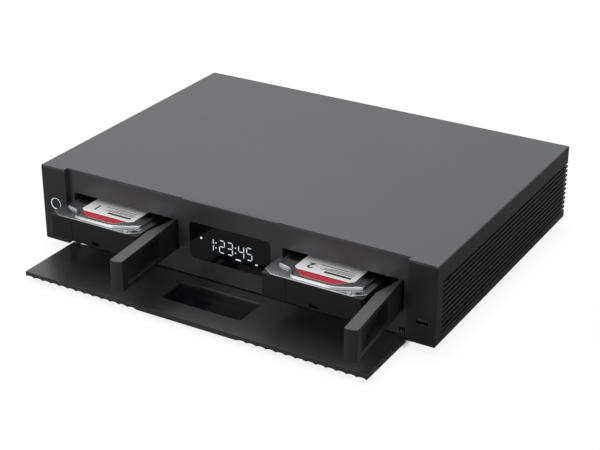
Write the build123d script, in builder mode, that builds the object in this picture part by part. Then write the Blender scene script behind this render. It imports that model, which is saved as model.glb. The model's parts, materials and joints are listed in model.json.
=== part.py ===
from build123d import *

import os
from math import cos, radians, sin

os.makedirs("parts", exist_ok=True)

# Network media player with two lockable hard drive bays behind a drop-down
# front door.  Millimetres.  X runs along the front, Y towards the back,
# Z up from the table.  The door is lowered, both bay levers stand open and
# both drives are run out, as when a drive is being changed.

# ---- casing ----
case_width = 430.0
case_depth = 308.0
case_height = 79.6
foot_height = 9.0
edge_round = 1.5
cover_thick = 2.2
flange_thick = 2.0
flange_bottom = 62.3  # lower edge of the cover's side flange above the casing's underside
pan_thick = 1.5
rear_thick = 2.0

front_y = -108.55  # plane of the front face's two end sections
rear_y = front_y + case_depth
half = case_width / 2
base_z = foot_height  # casing's underside
top_z = base_z + case_height
panel_top_z = top_z - cover_thick

# ---- front panel ----
half_recess = 186.5
recess_depth = 5.4
panel_depth = 11.0
wall_y = front_y + recess_depth  # front of the recessed wall
panel_back_y = front_y + panel_depth
wall_gap = 1.2  # wall stops this far above the underside, over the lowered door
wall_gap_width = 351.0
lug_thick = 8.0
lug_depth = 19.0
lug_spans = ((9.0, 18.5), (54.0, 66.0))  # heights of the lugs that take the side screws

# ---- drive bays: the right bay is a copy of the left one, moved along X ----
bay_pitch = 237.7
bay_width = 123.5
bay_bottom = 23.5
bay_top = 55.1
bays = {"left": -bay_pitch / 2, "right": bay_pitch / 2}

# ---- levers ----
pivot_offset = 56.35  # pivot to the right of the bay's middle
pivot_depth = 8.4  # pivot behind the front plane
lever_open = 94.7  # angle between closed and open
lever_length = 101.2
lever_thick = 12.0
lever_face = 3.0  # outer face in front of the pivot's centre
lever_bottom = 24.1
lever_top = 54.6
barrel_radius = 3.0
barrel_inset = 3.0  # barrel ends this far inside the lever's top and bottom
pin_radius = 1.5
running_gap = 0.05

# ---- hard drives and their trays ----
drive_width = 101.6
drive_length = 147.0
drive_height = 26.1
drive_offset = -9.85  # drive's middle from the bay's middle
drive_out = 33.0  # drive's front ahead of the front plane when run out
drive_bottom = 25.3
# measured from the drive's front left corner
lid_outline = [(5.0, 133.0), (5.0, 17.5), (18.0, 14.5), (24.5, 9.5), (28.0, 1.4), (71.0, 1.2), (87.5, 8.0),
               (96.5, 15.0), (96.5, 133.0)]
lid_screw_places = [(2.7, 45.0), (2.7, 112.0), (87.0, 3.0), (94.3, 7.6), (98.9, 75.0), (98.9, 138.0)]
label_outline = [(22.0, 124.0), (22.0, 22.0), (36.5, 9.0), (67.8, 9.0), (82.5, 22.0), (82.5, 124.0)]
lid_flange = 1.0
lid_rim = 4.6
lid_field_depth = 0.6
drive_seam = 25.5  # from the drive's left side
drive_side_holes = (28.5, 69.2, 130.1)  # from the drive's back
tray_thick = 1.1
tray_bottom = 23.9
tray_travel = 80.0
cage_floor_top = 23.4
cage_thick = 1.3
cage_back = 200.0
cage_wall_out = 54.6  # drive's middle to each of the cage's walls
cage_screw_places = [(bay_x + drive_offset + sx * 58.6, front_y + y)
                     for bay_x in bays.values() for sx in (-1, 1) for y in (32.0, 188.0)]

# ---- door ----
door_width = 369.4
door_height = 73.8
door_thick = 5.4
hinge_depth = 7.7  # hinge axis behind the front plane
hinge_height = 2.6  # and above the casing's underside
door_edge = 3.2  # hinge axis to the door's hinged edge
door_inner = -2.3  # hinge axis to the door's inner face when lowered
flute_pitch = 10.0
flute_depth = 1.3
flutes_each_side = 13
window_width = 87.0
window_height = 35.5
window_from_edge = 14.5
window_round = 3.5
arm_width = 4.6
arm_x = 180.1
arm_radius = 3.2
hinge_pin_radius = 1.2

# ---- display ----
display_width = 89.0
display_height = 38.0
display_z = 38.5
display_round = 4.5

# ---- small front parts ----
button_x = -200.0
button_z = 40.2
button_radius = 5.2
ring_radius = 6.1
ring_inner = 5.55
usb_x = 201.2
usb_z = 21.75

# ---- side panels ----
side_thick = 7.0
groove_count = 11
groove_pitch = 5.0
groove_top = 60.0
groove_width = 2.5
groove_depth = 3.0
screw_head_radius = 2.4
screw_radius = 1.5
screw_head_height = 1.4
cover_screw_ys = (24.0, 159.0, 294.0)
cover_screw_z = 70.0
side_screws = ((22.0, 60.0), (22.0, 15.0), (98.6, 15.0))
rear_screw_xs = (-196.0, -72.0, 18.0, 110.0, 196.0)
rear_screw_z = 5.4


def upright(y):
    """Vertical plane at depth y, seen from the front: X to the right, Z up."""
    return Plane.XZ.offset(-y)


def sideways(x):
    """Vertical plane at x, seen from the right: Y to the right, Z up."""
    return Plane.YZ.offset(x)


def write(piece, name):
    piece.part.label = name
    export_step(piece.part, f"parts/{name}.step")


# ================= casing =================

inner_half = half - side_thick - 0.1

with BuildPart() as base_pan:
    pan_front = panel_back_y + 0.1
    pan_back = rear_y - rear_thick - 0.1
    with BuildSketch(Plane.XY.offset(base_z)):
        with Locations((0, (pan_front + pan_back) / 2)):
            Rectangle(2 * inner_half, pan_back - pan_front)
    extrude(amount=pan_thick)
    flange_front = front_y + panel_depth + lug_depth + 1
    for side_x in (-inner_half + pan_thick / 2, inner_half - pan_thick / 2):
        with BuildSketch(Plane.XY.offset(base_z)):
            with Locations((side_x, (flange_front + pan_back) / 2)):
                Rectangle(pan_thick, pan_back - flange_front)
        extrude(amount=20.0)
    # upstand that the rear panel is screwed to
    with BuildSketch(Plane.XY.offset(base_z)):
        with Locations((0, pan_back - pan_thick / 2)):
            Rectangle(2 * inner_half, pan_thick)
    extrude(amount=8.6)
    with Locations(*[Plane(origin=(x, pan_back, base_z + rear_screw_z), z_dir=(0, 1, 0)) for x in rear_screw_xs]):
        Hole(screw_radius, depth=pan_thick)
    with BuildSketch(Plane.XY.offset(base_z)):
        for vent_x in (-109.0, 118.0):
            with Locations((vent_x, front_y + 100)):
                with GridLocations(10.0, 44.0, 8, 3):
                    SlotOverall(34.0, 3.0, rotation=90)
        with Locations((0, front_y + 250)):
            with GridLocations(10.0, 44.0, 8, 2):
                SlotOverall(34.0, 3.0, rotation=90)
    extrude(amount=pan_thick, mode=Mode.SUBTRACT)
    foot_places = [(x, front_y + y) for x in (-165.0, 165.0) for y in (75.0, 255.0)]
    with Locations(*[(x, y, base_z + pan_thick) for x, y in foot_places]):
        Hole(2.0)
    with Locations(*[Plane(origin=(sx * inner_half, front_y + 98.6, base_z + 15.0), z_dir=(sx, 0, 0))
                     for sx in (-1, 1)]):
        Hole(screw_radius, depth=pan_thick)
    with Locations(*[(x, y, base_z + pan_thick) for x, y in cage_screw_places]):
        Hole(1.2, depth=pan_thick)
write(base_pan, "base_pan")

with BuildPart() as rear_screws:
    with Locations(*[Plane(origin=(x, rear_y, base_z + rear_screw_z), z_dir=(0, 1, 0)) for x in rear_screw_xs]):
        Cylinder(2.8, 1.6, align=(Align.CENTER, Align.CENTER, Align.MIN))
        Cylinder(screw_radius, rear_thick + 0.1 + pan_thick, align=(Align.CENTER, Align.CENTER, Align.MAX))
    with Locations(*[Plane(origin=(x, rear_y + 0.6, base_z + rear_screw_z), z_dir=(0, 1, 0))
                     for x in rear_screw_xs]):
        Cylinder(1.1, 1.0, align=(Align.CENTER, Align.CENTER, Align.MIN), mode=Mode.SUBTRACT)
write(rear_screws, "rear_screws")

with BuildPart() as cage_screws:
    with Locations(*[(x, y, base_z + pan_thick + cage_thick) for x, y in cage_screw_places]):
        Cylinder(2.2, 1.6, align=(Align.CENTER, Align.CENTER, Align.MIN))
        Cylinder(1.2, cage_thick + pan_thick, align=(Align.CENTER, Align.CENTER, Align.MAX))
write(cage_screws, "cage_screws")

with BuildPart() as feet:
    foot_radius = 16.0
    pad_height = 1.5
    with BuildSketch(Plane.XY.offset(pad_height)):
        with Locations(*foot_places):
            Circle(foot_radius)
    extrude(amount=foot_height - pad_height)
    chamfer(feet.edges().filter_by(GeomType.CIRCLE).group_by(Axis.Z)[0], 1.0)
    with BuildSketch(Plane.XY.offset(foot_height)):
        with Locations(*foot_places):
            Circle(2.0)
    extrude(amount=pan_thick)
write(feet, "feet")

with BuildPart() as foot_pads:
    with BuildSketch(Plane.XY):
        with Locations(*foot_places):
            Circle(foot_radius - 2.0)
    extrude(amount=pad_height)
write(foot_pads, "foot_pads")

with BuildPart() as front_panel:
    with BuildSketch(Plane.XY.offset(base_z)):
        with BuildLine():
            Polyline(
                (-half, front_y), (-half_recess, front_y), (-half_recess, wall_y),
                (half_recess, wall_y), (half_recess, front_y), (half, front_y),
                (half, panel_back_y), (-half, panel_back_y), close=True,
            )
        make_face()
    extrude(amount=panel_top_z - base_z)
    bottom_corners = front_panel.edges().filter_by(Axis.Y).group_by(Axis.Z)[0]
    fillet([bottom_corners.sort_by(Axis.X)[0], bottom_corners.sort_by(Axis.X)[-1]], edge_round)
    # lugs that the side panels are screwed to
    for low, high in lug_spans:
        with BuildSketch(Plane.XY.offset(base_z + low)):
            for sx in (-1, 1):
                with Locations((sx * (inner_half - lug_thick / 2), panel_back_y + lug_depth / 2)):
                    Rectangle(lug_thick, lug_depth)
        extrude(amount=high - low)
    # two drive bays
    with BuildSketch(upright(wall_y - 1)):
        for bay_x in bays.values():
            with Locations((bay_x, base_z + (bay_bottom + bay_top) / 2)):
                Rectangle(bay_width, bay_top - bay_bottom)
    extrude(amount=-(panel_depth + 2), mode=Mode.SUBTRACT)
    # small nib that keeps each closed lever from being lifted
    with BuildSketch(upright(panel_back_y)):
        for bay_x in bays.values():
            with Locations((bay_x + 45.0, base_z + bay_top - 0.1)):
                Rectangle(1.4, 0.6)
    extrude(amount=panel_back_y - wall_y)
    # display opening
    with BuildSketch(upright(wall_y - 1)):
        with Locations((0, base_z + display_z)):
            RectangleRounded(display_width, display_height, display_round)
    extrude(amount=-(panel_depth + 2), mode=Mode.SUBTRACT)
    # relief under the wall for the lowered door's edge, and notches for its arms
    with BuildSketch(upright(wall_y - 1)):
        with Locations((0, base_z + wall_gap / 2)):
            Rectangle(wall_gap_width, wall_gap)
        with Locations((-arm_x, base_z + 4.0), (arm_x, base_z + 4.0)):
            Rectangle(arm_width + 1.0, 8.0)
    extrude(amount=-(panel_depth + 2), mode=Mode.SUBTRACT)
    # power button: counterbore for the light ring, then the button's own bore
    with Locations(Plane(origin=(button_x, front_y, base_z + button_z), z_dir=(0, -1, 0))):
        CounterBoreHole(ring_inner, ring_radius, 3.2, depth=panel_depth)
    # front socket
    with BuildSketch(upright(front_y)):
        with Locations((usb_x, base_z + usb_z)):
            Rectangle(13.2, 5.8)
    extrude(amount=-panel_depth, mode=Mode.SUBTRACT)
    # lever pins stand in the wall above and below each bay
    with Locations(*[(bay_x + pivot_offset, front_y + pivot_depth, base_z + 61.0) for bay_x in bays.values()]):
        Hole(pin_radius, depth=44.0)
    # door hinge pins
    for sx in (-1, 1):
        with Locations(Plane(origin=(sx * 176.5, front_y + hinge_depth, base_z + hinge_height), z_dir=(-sx, 0, 0))):
            Hole(hinge_pin_radius, depth=15.0)
    # tapped holes for the side screws
    for sx in (-1, 1):
        with Locations(*[Plane(origin=(sx * inner_half, front_y + y, base_z + z), z_dir=(sx, 0, 0))
                         for y, z in side_screws[:2]]):
            Hole(screw_radius, depth=6.0)
write(front_panel, "front_panel")

with BuildPart() as top_cover:
    with BuildSketch(Plane.XY.offset(panel_top_z)):
        with BuildLine():
            Polyline(
                (-half, front_y), (-half_recess, front_y), (-half_recess, wall_y),
                (half_recess, wall_y), (half_recess, front_y), (half, front_y),
                (half, rear_y), (-half, rear_y), close=True,
            )
        make_face()
    extrude(amount=cover_thick)
    for sx in (-1, 1):
        with BuildSketch(Plane.XY.offset(base_z + flange_bottom)):
            with Locations((sx * (half - flange_thick / 2), (panel_back_y + rear_y) / 2)):
                Rectangle(flange_thick, rear_y - panel_back_y)
        extrude(amount=panel_top_z - base_z - flange_bottom)
    top_edges = top_cover.edges().filter_by(Axis.Y).group_by(Axis.Z)[-1]
    fillet([top_edges.sort_by(Axis.X)[0], top_edges.sort_by(Axis.X)[-1]], edge_round)
    fillet(top_cover.edges().filter_by(Axis.X).group_by(Axis.Z)[-1].sort_by(Axis.Y)[-1], edge_round)
    # finger bevel in the middle of the front edge
    with BuildSketch(sideways(-52.5)):
        with BuildLine():
            Polyline((wall_y, top_z - 1.0), (wall_y + 2.9, top_z), (wall_y, top_z), close=True)
        make_face()
    extrude(amount=105.0, mode=Mode.SUBTRACT)
    for sx in (-1, 1):
        with Locations(*[Plane(origin=(sx * half, front_y + y, base_z + cover_screw_z), z_dir=(sx, 0, 0))
                         for y in cover_screw_ys]):
            CounterBoreHole(screw_radius, screw_head_radius + 0.1, screw_head_height, depth=flange_thick)
write(top_cover, "top_cover")

for side, sx in (("left", -1), ("right", 1)):
    with BuildPart() as side_panel:
        outer = sx * half
        inner = sx * (half - side_thick)
        with BuildSketch(upright(rear_y)) as side_section:
            with Locations(((outer + inner) / 2, base_z + flange_bottom / 2)):
                Rectangle(side_thick, flange_bottom)
            fillet(side_section.vertices().group_by(Axis.Y)[0].sort_by(Axis.X)[0 if sx < 0 else -1], edge_round)
            # tongue behind the cover's flange
            with Locations((sx * (half - flange_thick - 2.3), base_z + flange_bottom + 6.5)):
                Rectangle(4.4, 13.0)
            for i in range(groove_count):
                with Locations((sx * (half - groove_depth / 2), base_z + groove_top - i * groove_pitch)):
                    Rectangle(groove_depth, groove_width, mode=Mode.SUBTRACT)
        extrude(amount=rear_y - panel_back_y)
        with Locations(*[Plane(origin=(sx * (half - flange_thick - 0.1), front_y + y, base_z + cover_screw_z),
                               z_dir=(sx, 0, 0)) for y in cover_screw_ys]):
            Hole(screw_radius, depth=4.4)
        with Locations(*[Plane(origin=(outer, front_y + y, base_z + z), z_dir=(sx, 0, 0)) for y, z in side_screws]):
            CounterBoreHole(screw_radius, screw_head_radius + 0.1, groove_depth + 1.4, depth=side_thick)
    write(side_panel, f"side_panel_{side}")

with BuildPart() as cover_screws:
    for sx in (-1, 1):
        heads = [Plane(origin=(sx * (half - screw_head_height), front_y + y, base_z + cover_screw_z),
                       z_dir=(sx, 0, 0)) for y in cover_screw_ys]
        with Locations(*heads):
            Cylinder(screw_head_radius, 1.3, align=(Align.CENTER, Align.CENTER, Align.MIN))
            Cylinder(screw_radius, 4.8, align=(Align.CENTER, Align.CENTER, Align.MAX))
        with Locations(*[plane.offset(0.4) for plane in heads]):
            Cylinder(1.1, 1.0, align=(Align.CENTER, Align.CENTER, Align.MIN), mode=Mode.SUBTRACT)
write(cover_screws, "cover_screws")

with BuildPart() as side_panel_screws:
    for sx in (-1, 1):
        heads = [Plane(origin=(sx * (half - groove_depth - 1.4), front_y + y, base_z + z), z_dir=(sx, 0, 0))
                 for y, z in side_screws]
        with Locations(*heads):
            Cylinder(screw_head_radius, 1.4, align=(Align.CENTER, Align.CENTER, Align.MIN))
            Cylinder(screw_radius, side_thick - groove_depth - 1.4 + 1.6,
                     align=(Align.CENTER, Align.CENTER, Align.MAX))
        with Locations(*[plane.offset(0.4) for plane in heads]):
            Cylinder(1.1, 1.1, align=(Align.CENTER, Align.CENTER, Align.MIN), mode=Mode.SUBTRACT)
write(side_panel_screws, "side_panel_screws")

# ================= front fittings =================

with BuildPart() as display_window:
    window_thick = 2.0
    with BuildSketch(upright(wall_y)):
        with Locations((0, base_z + display_z)):
            RectangleRounded(display_width, display_height, display_round)
    extrude(amount=-window_thick)
write(display_window, "display_window")

with BuildPart() as display_module:
    module_y = wall_y + window_thick
    with BuildSketch(upright(module_y)):
        with Locations((0, base_z + display_z)):
            Rectangle(84.0, 30.0)
    extrude(amount=-6.0)
    with BuildSketch(upright(module_y + 6.0)):
        with Locations((0, base_z + display_z)):
            Rectangle(100.0, 44.0)
    extrude(amount=-1.6)
write(display_module, "display_module")

# seven-segment read-out on the window: 1:23:45, with small plain indicator marks
segments = {
    "a": (0.0, 1.0, 0), "b": (0.5, 0.5, 1), "c": (0.5, -0.5, 1), "d": (0.0, -1.0, 0),
    "e": (-0.5, -0.5, 1), "f": (-0.5, 0.5, 1), "g": (0.0, 0.0, 0),
}
shapes = {"1": "bc", "2": "abged", "3": "abgcd", "4": "fgbc", "5": "afgcd"}
digit_height = 12.4
digit_width = 5.6
stroke = 0.65
read_out = ((-20.6, "1"), (-8.2, "2"), (0.6, "3"), (13.0, "4"), (21.8, "5"))
colons = (-14.8, 6.8)
with BuildPart() as display_digits:
    with BuildSketch(upright(wall_y)):
        for digit_x, digit in read_out:
            for key in shapes[digit]:
                seg_x, seg_z, standing = segments[key]
                place = (digit_x + seg_x * digit_width, base_z + display_z + 0.6 + seg_z * digit_height / 2)
                long_side = (digit_height / 2 if standing else digit_width) - 1.4
                with Locations(place):
                    if standing:
                        Rectangle(stroke, long_side)
                    else:
                        Rectangle(long_side, stroke)
        for colon_x in colons:
            with Locations((colon_x, base_z + display_z + 3.2), (colon_x, base_z + display_z - 2.0)):
                Circle(0.65)
        with Locations((-31.2, base_z + 42.8)):
            Circle(1.1)
        with Locations((9.6, base_z + 30.0)):
            Rectangle(5.6, 1.0)
        with Locations((29.6, base_z + 30.0)):
            Rectangle(2.6, 1.0)
    extrude(amount=0.12)
write(display_digits, "display_digits")

with BuildPart() as light_ring:
    with BuildSketch(upright(front_y)):
        with Locations((button_x, base_z + button_z)):
            Circle(ring_radius)
            Circle(ring_inner, mode=Mode.SUBTRACT)
    extrude(amount=-3.2)
write(light_ring, "light_ring")

with BuildPart() as power_button:
    with BuildSketch(upright(front_y)):
        with Locations((button_x, base_z + button_z)):
            Circle(button_radius)
    extrude(amount=-5.0)
    with BuildSketch(upright(front_y + 5.0)):
        with Locations((button_x, base_z + button_z)):
            Circle(2.4)
    extrude(amount=-6.5)
write(power_button, "power_button")

with BuildPart() as button_board:
    board_y = front_y + 15.5
    with BuildSketch(upright(board_y)):
        with Locations((button_x + 4.0, base_z + button_z)):
            Rectangle(15.0, 18.0)
    extrude(amount=-1.6)
    with BuildSketch(upright(board_y)):
        with Locations((button_x, base_z + button_z)):
            Rectangle(6.0, 6.0)
    extrude(amount=2.2)
write(button_board, "button_board")

with BuildPart() as front_usb_socket:
    with BuildSketch(upright(front_y + 0.2)):
        with Locations((usb_x, base_z + usb_z)):
            Rectangle(13.1, 5.7)
            Rectangle(12.3, 4.8, mode=Mode.SUBTRACT)
    extrude(amount=-14.0)
    with BuildSketch(upright(front_y + 12.0)):
        with Locations((usb_x, base_z + usb_z)):
            Rectangle(12.3, 4.8)
    extrude(amount=-2.2)
    with BuildSketch(upright(front_y + 1.6)):
        with Locations((usb_x, base_z + usb_z + 1.0)):
            Rectangle(11.0, 1.9)
    extrude(amount=-10.4)
write(front_usb_socket, "front_usb_socket")

# ================= door =================

hinge_y = front_y + hinge_depth
hinge_z = base_z + hinge_height
door_rear_y = hinge_y - door_edge
door_inner_z = hinge_z + door_inner
door_outer_z = door_inner_z - door_thick
window_y = door_rear_y - window_from_edge - window_height / 2

with BuildPart() as front_door:
    # the section has a row of hollow flutes to each side of a plain middle
    with BuildSketch(upright(door_rear_y)):
        with BuildLine():
            edge_x = door_width / 2
            plain_half = edge_x - flutes_each_side * flute_pitch
            Polyline((-edge_x, door_outer_z), (-edge_x, door_inner_z), (edge_x, door_inner_z),
                     (edge_x, door_outer_z))
            for start_x in (plain_half, -edge_x):
                for i in range(flutes_each_side):
                    left_x = start_x + i * flute_pitch
                    ThreePointArc(
                        (left_x, door_outer_z),
                        (left_x + flute_pitch / 2, door_outer_z + flute_depth),
                        (left_x + flute_pitch, door_outer_z),
                    )
            Line((-plain_half, door_outer_z), (plain_half, door_outer_z))
        make_face()
    extrude(amount=door_height)
    with BuildSketch(Plane.XY.offset(door_outer_z)):
        with Locations((0, window_y)):
            RectangleRounded(window_width, window_height, window_round)
    extrude(amount=door_thick, mode=Mode.SUBTRACT)
    # hinge arms reach back under the wall to the pins
    for sx in (-1, 1):
        with BuildSketch(sideways(sx * arm_x - arm_width / 2)):
            with BuildLine():
                Polyline(
                    (door_rear_y - 2.0, door_outer_z + flute_depth + 0.2), (door_rear_y - 2.0, door_inner_z),
                    (door_rear_y, door_inner_z), (hinge_y, hinge_z + arm_radius),
                    (hinge_y, hinge_z - arm_radius), (door_rear_y, door_outer_z + flute_depth + 0.2), close=True,
                )
            make_face()
            with Locations((hinge_y, hinge_z)):
                Circle(arm_radius)
                Circle(hinge_pin_radius + running_gap, mode=Mode.SUBTRACT)
        extrude(amount=arm_width)
write(front_door, "front_door")

with BuildPart() as door_window:
    pane_thick = 2.7
    with BuildSketch(Plane.XY.offset(door_outer_z)):
        with Locations((0, window_y)):
            RectangleRounded(window_width, window_height, window_round)
    extrude(amount=pane_thick)
write(door_window, "door_window")

with BuildPart() as door_hinge_pins:
    with Locations(*[Plane(origin=(sx * 176.5, hinge_y, hinge_z), z_dir=(sx, 0, 0)) for sx in (-1, 1)]):
        Cylinder(hinge_pin_radius, 15.0, align=(Align.CENTER, Align.CENTER, Align.MIN))
write(door_hinge_pins, "door_hinge_pins")

# ================= bays: lever, pin, cage, tray and drive =================

drive_front_y = front_y - drive_out
drive_back_y = drive_front_y + drive_length
drive_z = base_z + drive_bottom

for side, bay_x in bays.items():
    pivot = (bay_x + pivot_offset, front_y + pivot_depth)
    drive_x = bay_x + drive_offset

    # ---- lever, drawn along its own length from the pivot ----
    swing = radians(lever_open - 180.0)
    along = (cos(swing), sin(swing), 0)

    def lever_plane(z):
        return Plane(origin=(pivot[0], pivot[1], z), x_dir=along, z_dir=(0, 0, 1))

    with BuildPart() as lever:
        with BuildSketch(lever_plane(base_z + lever_bottom)):
            with BuildLine():
                tip = lever_length
                back = lever_face - lever_thick
                Line((2.2, lever_face), (tip - 2.0, lever_face))
                ThreePointArc((tip - 2.0, lever_face), (tip, -3.0), (tip - 0.8, back))
                Polyline((tip - 0.8, back), (34.2, back), (2.2, 0.6), (2.2, lever_face))
            make_face()
        extrude(amount=lever_top - lever_bottom)
        with BuildSketch(lever_plane(base_z + lever_bottom + barrel_inset)):
            Circle(barrel_radius)
            with BuildLine():
                Polyline((0, lever_face), (12.0, lever_face), (12.0, -0.5), (0, -barrel_radius), close=True)
            make_face()
        extrude(amount=lever_top - lever_bottom - 2 * barrel_inset)
        with BuildSketch(lever_plane(base_z + lever_bottom)):
            Circle(pin_radius + running_gap)
        extrude(amount=lever_top - lever_bottom, mode=Mode.SUBTRACT)
        # finger scoop in the outer face: deep at the hinge end, running out to the tip
        with BuildSketch(lever_plane(base_z + 28.5)):
            with BuildLine():
                Polyline((33.8, lever_face), (91.0, lever_face), (91.0, 2.2), (53.0, -7.0), (33.8, -7.0),
                         close=True)
            make_face()
        extrude(amount=22.2, mode=Mode.SUBTRACT)
    write(lever, f"lever_{side}")

    with BuildPart() as lever_pin:
        with BuildSketch(Plane.XY.offset(base_z + 17.0)):
            with Locations(pivot):
                Circle(pin_radius)
        extrude(amount=44.0)
    write(lever_pin, f"lever_pin_{side}")

    # ---- cage: two walls on the pan, a floor between them and a strap over the top ----
    with BuildPart() as cage:
        wall_front = front_y + 19.5
        wall_back = front_y + cage_back
        cage_top = base_z + 62.0
        with BuildSketch(upright(wall_back)):
            for wall_x in (drive_x - cage_wall_out, drive_x + cage_wall_out):
                with Locations((wall_x, (base_z + pan_thick + cage_top) / 2)):
                    Rectangle(cage_thick, cage_top - base_z - pan_thick)
            with Locations((drive_x, base_z + cage_floor_top - cage_thick / 2)):
                Rectangle(2 * cage_wall_out, cage_thick)
            for foot_x in (drive_x - cage_wall_out - 4.0, drive_x + cage_wall_out + 4.0):
                with Locations((foot_x, base_z + pan_thick + cage_thick / 2)):
                    Rectangle(8.0, cage_thick)
        extrude(amount=wall_back - wall_front)
        with Locations(*[(x, y, base_z + pan_thick + cage_thick) for x, y in cage_screw_places
                         if abs(x - drive_x) < 60.0]):
            Hole(1.2, depth=cage_thick)
        for strap_y in (front_y + 60.0, front_y + 150.0):
            with BuildSketch(Plane.XY.offset(cage_top - cage_thick)):
                with Locations((drive_x, strap_y)):
                    Rectangle(2 * cage_wall_out, 24.0)
            extrude(amount=cage_thick)
        with BuildSketch(Plane.XY.offset(base_z + cage_floor_top - cage_thick)):
            with Locations((drive_x, front_y + 112.0)):
                with GridLocations(12.0, 46.0, 7, 3):
                    SlotOverall(36.0, 3.5, rotation=90)
        extrude(amount=cage_thick, mode=Mode.SUBTRACT)
    write(cage, f"drive_cage_{side}")

    # ---- tray under the drive, with a heel that pushes the drive out ----
    with BuildPart() as tray:
        heel_y = drive_back_y + 0.3
        with BuildSketch(Plane.XY.offset(base_z + tray_bottom)):
            with Locations((drive_x, (drive_front_y + 1.5 + heel_y + 1.2) / 2)):
                Rectangle(drive_width - 0.4, heel_y + 1.2 - drive_front_y - 1.5)
        extrude(amount=tray_thick)
        with BuildSketch(Plane.XY.offset(base_z + tray_bottom)):
            with Locations((drive_x - 45.0, heel_y + 0.6), (drive_x + 45.0, heel_y + 0.6)):
                Rectangle(10.0, 1.2)
        extrude(amount=10.0)
    write(tray, f"tray_{side}")

    # ---- drive: casting, lid, label, circuit board, screws and connector ----
    casting_top = drive_z + 22.6
    lid_top = drive_z + drive_height
    left_x = drive_x - drive_width / 2
    right_x = drive_x + drive_width / 2
    with BuildPart() as drive_base:
        with BuildSketch(Plane.XY.offset(drive_z)):
            with Locations((drive_x, (drive_front_y + drive_back_y) / 2)):
                RectangleRounded(drive_width, drive_length, 2.0)
        extrude(amount=22.6)
        # room for the circuit board and the connector
        with BuildSketch(Plane.XY.offset(drive_z)):
            with Locations((drive_x, drive_back_y - 53.0)):
                Rectangle(drive_width - 8.0, 106.0)
        extrude(amount=5.0, mode=Mode.SUBTRACT)
        # notch in the lower front edge
        with BuildSketch(upright(drive_front_y)):
            with Locations((drive_x + 2.5, drive_z + 2.4)):
                Rectangle(9.0, 4.8)
        extrude(amount=-5.0, mode=Mode.SUBTRACT)
        # seam down the front face
        with BuildSketch(upright(drive_front_y)):
            with Locations((left_x + drive_seam, drive_z + 11.3)):
                Rectangle(0.5, 22.6)
        extrude(amount=-0.4, mode=Mode.SUBTRACT)
        # tapped mounting holes in both sides
        for side_x, sx in ((left_x, -1), (right_x, 1)):
            with Locations(*[Plane(origin=(side_x, drive_back_y - back, drive_z + 6.35), z_dir=(sx, 0, 0))
                             for back in drive_side_holes]):
                Hole(1.5, depth=3.5)
        # motor hub seat
        with BuildSketch(Plane.XY.offset(drive_z + 5.0)):
            with Locations((drive_x, drive_front_y + 60.0)):
                Circle(14.0)
        extrude(amount=-2.0)
        lid_screws = [(left_x + x, drive_front_y + y) for x, y in lid_screw_places]
        with Locations(*[(x, y, casting_top) for x, y in lid_screws]):
            Hole(1.0, depth=4.0)
    write(drive_base, f"drive_base_{side}")

    with BuildPart() as drive_lid:
        with BuildSketch(Plane.XY.offset(casting_top)):
            with BuildLine():
                Polyline(
                    (left_x, drive_back_y), (left_x, drive_front_y + 6.5), (left_x + 10.0, drive_front_y),
                    (left_x + 91.0, drive_front_y), (right_x, drive_front_y + 9.0), (right_x, drive_back_y),
                    close=True,
                )
            make_face()
        extrude(amount=lid_flange)
        # raised middle, set back round the arm motor at the front left, with a sunk field for the label
        with BuildSketch(Plane.XY.offset(casting_top + lid_flange)):
            with BuildLine():
                Polyline(*[(left_x + x, drive_front_y + y) for x, y in lid_outline], close=True)
            middle = make_face()
            fillet(middle.vertices(), 3.0)
        extrude(amount=lid_top - casting_top - lid_flange, taper=25)
        with BuildSketch(Plane.XY.offset(lid_top)):
            with BuildLine():
                Polyline(*[(left_x + x, drive_front_y + y) for x, y in lid_outline], close=True)
            make_face()
            offset(amount=-lid_rim, kind=Kind.INTERSECTION)
        extrude(amount=-lid_field_depth, mode=Mode.SUBTRACT)
        with Locations(*[(x, y, casting_top + lid_flange) for x, y in lid_screws]):
            CounterBoreHole(1.2, 2.3, 0.5, depth=lid_flange)
    write(drive_lid, f"drive_lid_{side}")

    with BuildPart() as drive_label:
        with BuildSketch(Plane.XY.offset(lid_top - lid_field_depth)):
            with BuildLine():
                Polyline(*[(left_x + x, drive_front_y + y) for x, y in label_outline], close=True)
            make_face()
        extrude(amount=0.15)
    write(drive_label, f"drive_label_{side}")

    with BuildPart() as drive_board:
        with BuildSketch(Plane.XY.offset(drive_z + 1.4)):
            with Locations((drive_x, drive_back_y - 53.0)):
                Rectangle(drive_width - 12.0, 100.0)
            with Locations((drive_x, drive_front_y + 60.0)):
                Circle(15.0, mode=Mode.SUBTRACT)
        extrude(amount=1.4)
        with BuildSketch(Plane.XY.offset(drive_z + 2.8)):
            with Locations((drive_x - 8.0, drive_back_y - 34.0)):
                Rectangle(14.0, 14.0)
            with Locations((drive_x + 20.0, drive_back_y - 30.0)):
                Rectangle(10.0, 16.0)
        extrude(amount=1.2)
    write(drive_board, f"drive_board_{side}")

    with BuildPart() as drive_connector:
        with BuildSketch(Plane.XY.offset(drive_z)):
            with Locations((drive_x + 20.0, drive_back_y - 1.5)):
                Rectangle(42.0, 3.0)
        extrude(amount=1.4)
    write(drive_connector, f"drive_connector_{side}")

    with BuildPart() as drive_screws:
        with Locations(*[(x, y, casting_top + 0.5) for x, y in lid_screws]):
            Cylinder(2.2, 0.9, align=(Align.CENTER, Align.CENTER, Align.MIN))
            Cylinder(1.0, 3.5, align=(Align.CENTER, Align.CENTER, Align.MAX))
        with Locations(*[(x, y, casting_top + 0.8) for x, y in lid_screws]):
            Cylinder(1.0, 1.0, align=(Align.CENTER, Align.CENTER, Align.MIN), mode=Mode.SUBTRACT)
    write(drive_screws, f"drive_screws_{side}")

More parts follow.
